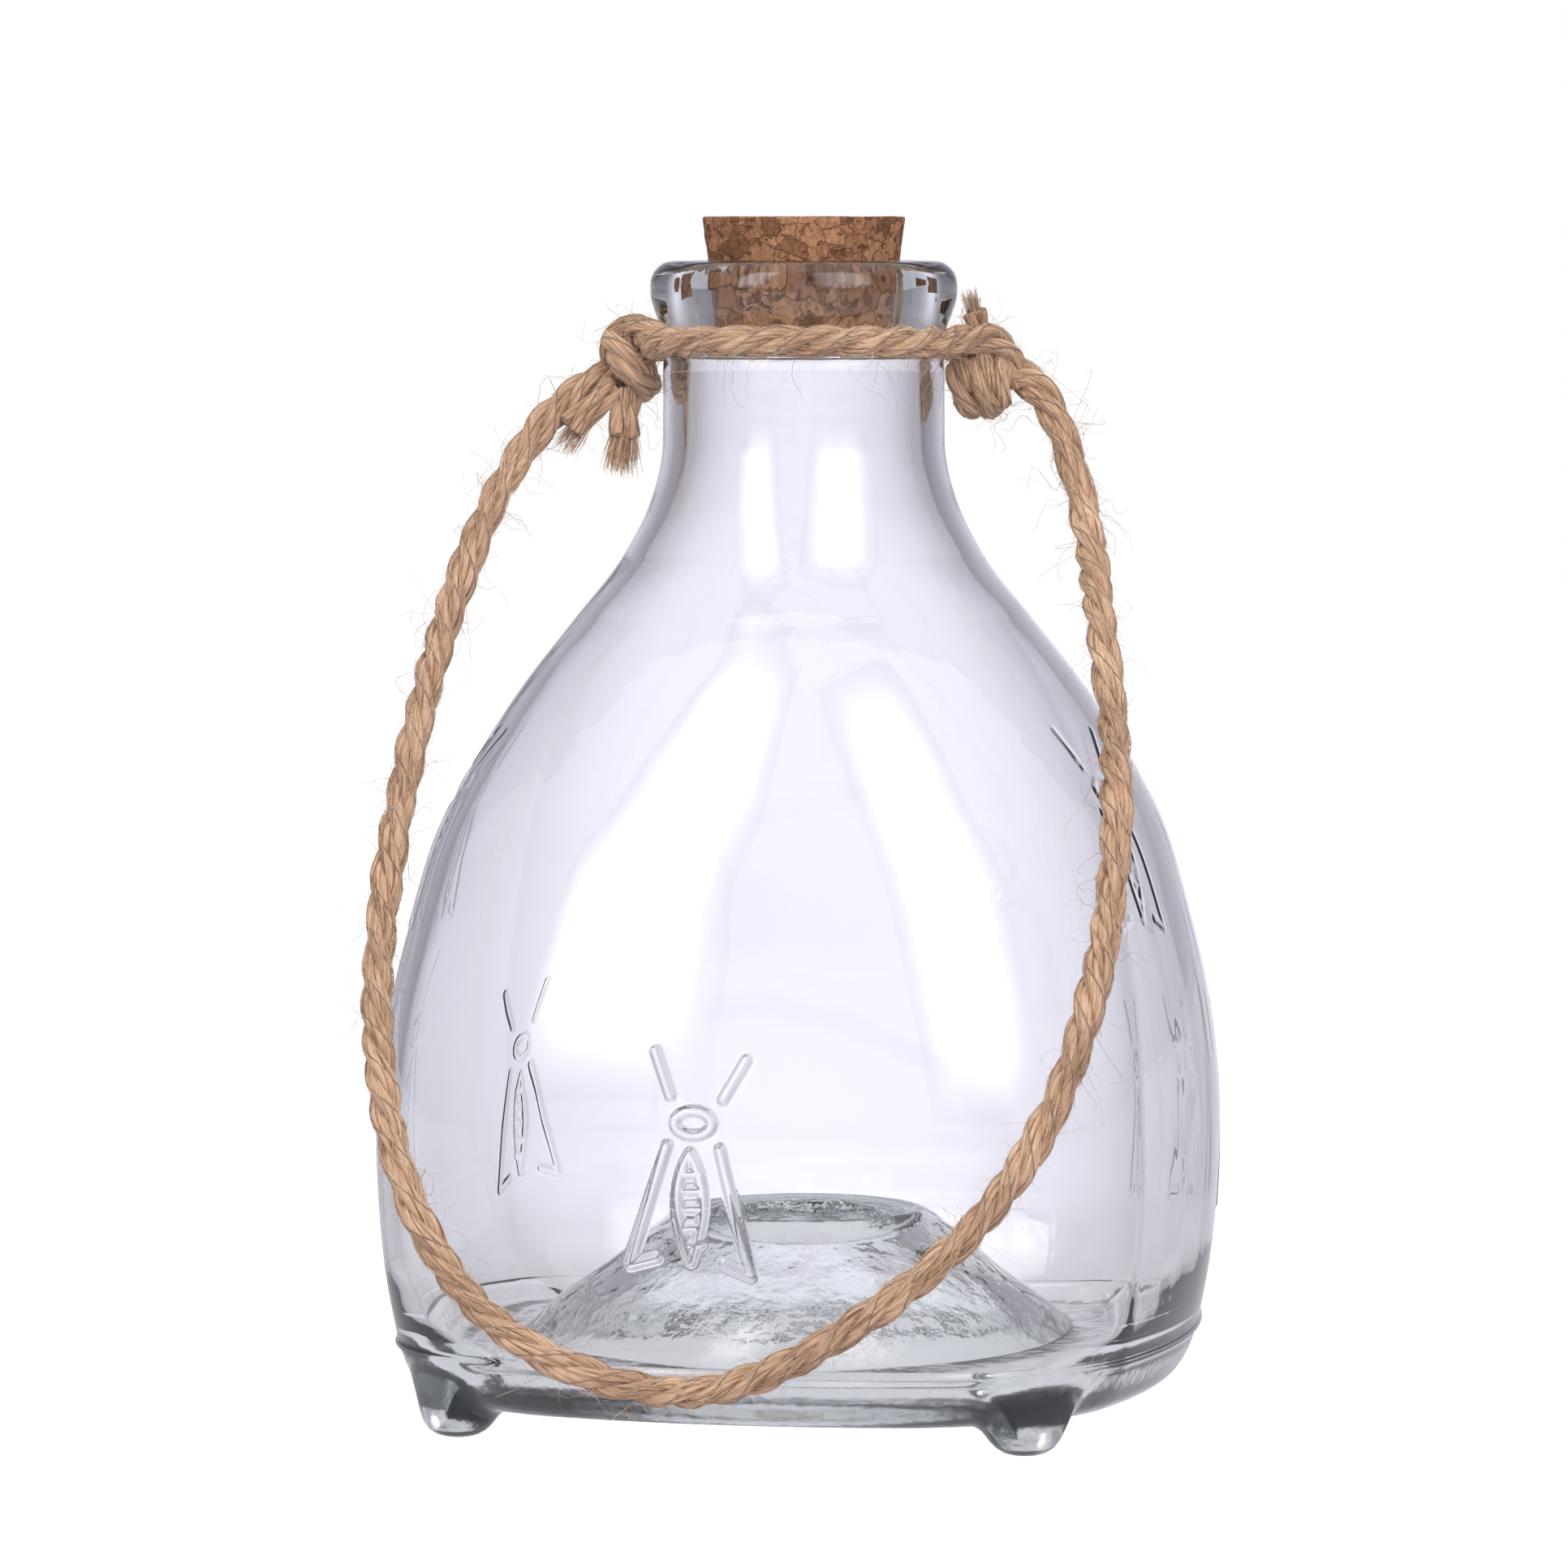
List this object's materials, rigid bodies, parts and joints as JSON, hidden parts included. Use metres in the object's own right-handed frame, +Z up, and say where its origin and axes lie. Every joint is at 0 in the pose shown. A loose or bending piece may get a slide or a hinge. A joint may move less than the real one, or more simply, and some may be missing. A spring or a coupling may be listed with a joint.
{
  "type": "fly trap",
  "caption": "Clear glass fly trap bottle with a funnel entry in its base, small feet, a cork stopper and a jute cord with a long hanging loop.",
  "frame": {"origin": "on the bottle's axis, at the floor that its feet stand on", "axes": "+Z up along the bottle's axis, the front face of the belly looks along -Y"},
  "size_m": [0.1368, 0.1467, 0.1998],
  "materials": {
    "glass": "gloss",
    "cork": "matt",
    "jute": "matt"
  },
  "bodies": {
    "bottle": {"glass_bottle": "glass", "neck_cord": "jute", "left_knot": "jute", "right_knot": "jute", "left_tail": "jute", "left_stub": "jute", "right_tail": "jute"},
    "stopper": {"cork_stopper": "cork"},
    "loop": {"hanging_cord": "jute"}
  },
  "joints": [
    {"name": "cork_pull", "type": "slide", "parent": "bottle", "child": "stopper", "axis": [0, 0, 1], "range_m": [0, 0.05]},
    {"name": "loop_swing", "type": "hinge", "parent": "bottle", "child": "loop", "pos_m": [0, 0, 0.174], "axis": [-0.9748, -0.2233, 0], "range_deg": [0, 290]}
  ]
}
